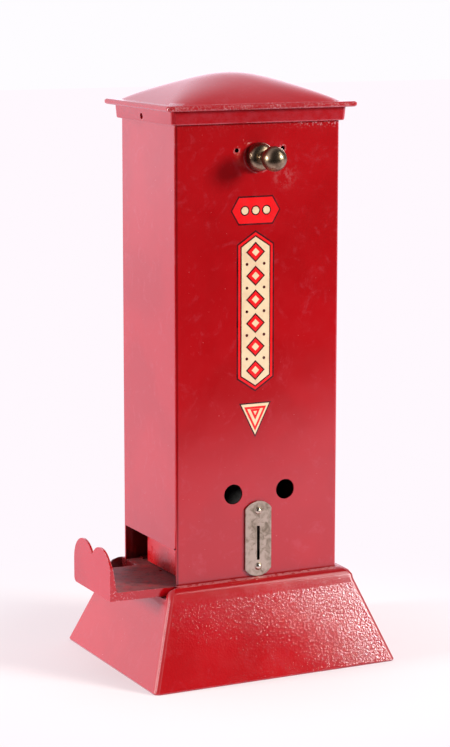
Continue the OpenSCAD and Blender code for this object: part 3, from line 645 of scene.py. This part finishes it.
sheet_red = enamel("sheet_enamel_red", 0.014, 1.8, wear=0.2, specks=0.6, smears=0.45, extra=tower_marks_and_shade)
bar_red = enamel("bar_enamel_red", 0.015, 1.6, wear=0.5, specks=0.3)
slide_red = enamel("slide_enamel_red", 0.012, 1.6, wear=0.6, specks=0.4, seam_dirt_and_shade=0.1, extra=slide_wear_and_light)
cast_red = enamel("cast_enamel_red", 0.12, 1.2, wear=0.4, specks=0.5, wave=0.08, rough=0.11,
                  extra=casting_marks_and_light, calm=clean_shoulder)
lid_red = enamel("lid_enamel_red", 0.02, 1.6, wear=0.75, specks=0.4, seam_dirt_and_shade=0.15, extra=lid_wear)
tray_red = enamel("tray_enamel_red", 0.04, 1.6, wear=0.6, specks=0.5, extra=tray_wear_and_shade)
plate_metal = metal("worn_plating", srgb(182, 168, 148), srgb(100, 88, 70), 0.36, (1, 1, 6), 0.75)
rivet_metal = metal("rivet_plating", srgb(200, 188, 166), srgb(126, 108, 84), 0.25)
brass = metal("aged_brass", srgb(140, 122, 98), srgb(74, 60, 44), 0.24, patina=0.6, dents=0.01)
tin = metal("tinned_sheet", srgb(176, 176, 172), srgb(112, 110, 106), 0.36, (1, 1, 5), 0.6, 0.04)
# Painted shade: the magazine's tin is coloured dark for the shade inside the machine
shade_painted_tin = metal("shade_painted_tinned_sheet", srgb(84, 82, 80), srgb(46, 44, 42), 0.5, (1, 1, 5), 0.6, 0.04)
dark_steel = metal("dark_steel", srgb(110, 108, 108), srgb(56, 52, 50), 0.36, (5, 1, 1), 0.6)
screw_steel = metal("screw_steel", srgb(168, 164, 158), srgb(98, 90, 82), 0.3, patina=0.6)

FINISHES = {  # width of the rounded edges, material
    "base": (0.7, cast_red), "deck_tray": (0.4, tray_red), "tower_shell": (0.22, sheet_red),
    "lid": (0.5, lid_red), "slide_box": (0.35, slide_red), "pull_bar": (0.5, bar_red),
    "coin_plate": (0.3, plate_metal), "coin_plate_rivets": (0.05, rivet_metal), "knob": (0.08, brass),
    "coin_chute": (0.15, tin), "magazine": (0.15, shade_painted_tin), "magazine_upper_bracket": (0.15, tin),
    "magazine_lower_bracket": (0.15, tin), "bottom_cover": (0.2, tin), "clamp_plate": (0.25, dark_steel),
    "lid_tongue": (0.2, dark_steel), "carrier_block_left": (0.4, dark_steel),
    "carrier_block_right": (0.4, dark_steel), "coin_pawl": (0.2, dark_steel),
    "bottom_cover_screws": (0.15, screw_steel), "deck_bolts": (0.2, screw_steel),
    "tower_screws": (0.2, screw_steel), "bracket_rivets": (0.1, bar_red), "pawl_pin": (0.15, screw_steel),
    "stop_screw": (0.2, screw_steel), "lid_tongue_screws": (0.15, screw_steel),
    "carrier_rivets": (0.15, screw_steel), "pull_screw": (0.15, screw_steel),
}
for node_name, (edge_width, finish) in FINISHES.items():
    refined(node_name, edge_width, finish)


# Painted ornament on the front: a small plaque with dots, a tall panel with lozenges, a drop with chevrons

CREAM = srgb(236, 212, 168)
BRIGHT_RED = srgb(238, 22, 26)
MAROON = srgb(62, 10, 14)
COAT = 0.03                   # thickness of one coat of paint
SUNK = 0.05                   # how far a coat reaches into the sheet
ORNAMENT_X = -1.8
PLAQUE = (273.5, 16.2, 8.4)   # height of the middle, half the width, half the height
PLAQUE_TIP = 5
DOT, DOT_PITCH = 2.9, 7       # radius, distance between two
PANEL = (214.5, 12.2, 47.5)   # height of the middle, half the width, half the height
PANEL_TIP = 8
LOZENGES = 6
LOZENGE = (6.2, 6.0)          # half the width, half the height
LOZENGE_GAP = 1.9
BEAD, BEAD_X = 0.9, 5.6       # radius, distance from the middle line
DROP = (160.5, 10.5, 21.0)    # height of the top, half the width, length
CHEVRONS = ((2.4, 7.3, 3), (3.8, 3.3, 5))  # distance below the drop's top, half the width, first coat
DISC_SIDES = 28


def paint(name, color):
    """Gloss paint on the red enamel, a little aged and flaked."""
    s = Shader(name)
    aged = s.mix(s.ramp(s.noise(7, 5, 0.65), 0.35, 0.7, 0.0, 0.16), color, RED_PALE)
    gone = s.mul(s.ramp(s.noise(0.9, 3, 0.6), 0.7, 0.74), s.ramp(s.noise(12, 2), 0.45, 0.6, 0.0, 0.8))
    roughness = s.ramp(s.noise(6, 4, 0.6), 0.3, 0.7, 0.14, 0.22)
    s.surface(s.mix(gone, aged, RED_DEEP), roughness, s.bump(s.noise(1.6, 3, 0.55), 0.012), ENAMEL_IOR)
    return s.owner


def inset(outline, d):
    """Convex outline moved inwards by d."""
    result = []
    n = len(outline)
    for i, (x, z) in enumerate(outline):
        ax, az = x - outline[i - 1][0], z - outline[i - 1][1]
        bx, bz = outline[(i + 1) % n][0] - x, outline[(i + 1) % n][1] - z
        la, lb = hypot(ax, az), hypot(bx, bz)
        nx, nz = -az / la - bz / lb, ax / la + bx / lb
        k = d / (1 + (ax * bx + az * bz) / (la * lb))
        result.append((x + nx * k, z + nz * k))
    return result


def disc(cx, cz, r):
    turns = [2 * pi * i / DISC_SIDES for i in range(DISC_SIDES)]
    return [(cx + r * cos(turn), cz + r * sin(turn)) for turn in turns]


def lozenge(cz, a, b):
    return [(ORNAMENT_X - a, cz), (ORNAMENT_X, cz - b), (ORNAMENT_X + a, cz), (ORNAMENT_X, cz + b)]


def hanging(top, a, length):
    """Triangle that hangs point down from its flat side."""
    return [(ORNAMENT_X - a, top), (ORNAMENT_X, top - length), (ORNAMENT_X + a, top)]


def pointed(cz, a, b, tip, upright):
    """Hexagon with two points: half sizes a across and b up, each point tip long."""
    if upright:
        spots = [(-a, tip - b), (0, -b), (a, tip - b), (a, b - tip), (0, b), (-a, b - tip)]
    else:
        spots = [(-a, 0), (tip - a, -b), (a - tip, -b), (a, 0), (a - tip, b), (tip - a, b)]
    return [(ORNAMENT_X + x, cz + z) for x, z in spots]


def make_ornament():
    bm = bmesh.new()
    maroon, red, cream = range(3)

    def lay(outline, *coats):
        """Slabs one on another, each an inset, a paint, and how many coats its face lies above the sheet."""
        for gap, tint, level in coats:
            prism(bm, inset(outline, gap), TOWER_LO.y + SUNK, TOWER_LO.y - COAT * level, tint)

    z, a, b = PLAQUE
    lay(pointed(z, a, b, PLAQUE_TIP, False), (0, maroon, 1), (0.9, red, 2))
    for i in (-1, 0, 1):
        lay(disc(ORNAMENT_X + DOT_PITCH * i, z, DOT), (0, maroon, 3), (0.7, cream, 4))

    z, a, b = PANEL
    lay(pointed(z, a, b, PANEL_TIP, True), (0, maroon, 1), (1.0, red, 2), (2.4, maroon, 3), (3.2, cream, 4))
    pitch = 2 * LOZENGE[1] + LOZENGE_GAP
    for i in range(LOZENGES):
        mid = z + (i - (LOZENGES - 1) / 2) * pitch
        lay(lozenge(mid, *LOZENGE), (0, maroon, 5), (0.8, red, 6), (2.6, cream, 7))
        if i < LOZENGES - 1:
            for side in (-1, 1):
                lay(disc(ORNAMENT_X + side * BEAD_X, mid + pitch / 2, BEAD), (0, maroon, 5))

    top, a, length = DROP
    lay(hanging(top, a, length), (0, maroon, 1), (0.8, cream, 2))
    for below, half, coat in CHEVRONS:
        lay(hanging(top - below, half, 2 * half), (0, red, coat), (1.3, cream, coat + 1))

    paints = (paint("maroon_paint", MAROON), paint("bright_red_paint", BRIGHT_RED), paint("cream_paint", CREAM))
    piece = new_object("front_ornament", new_mesh("front_ornament", bm), *paints)
    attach(piece, nodes["tower_shell"]["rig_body"])


make_ornament()
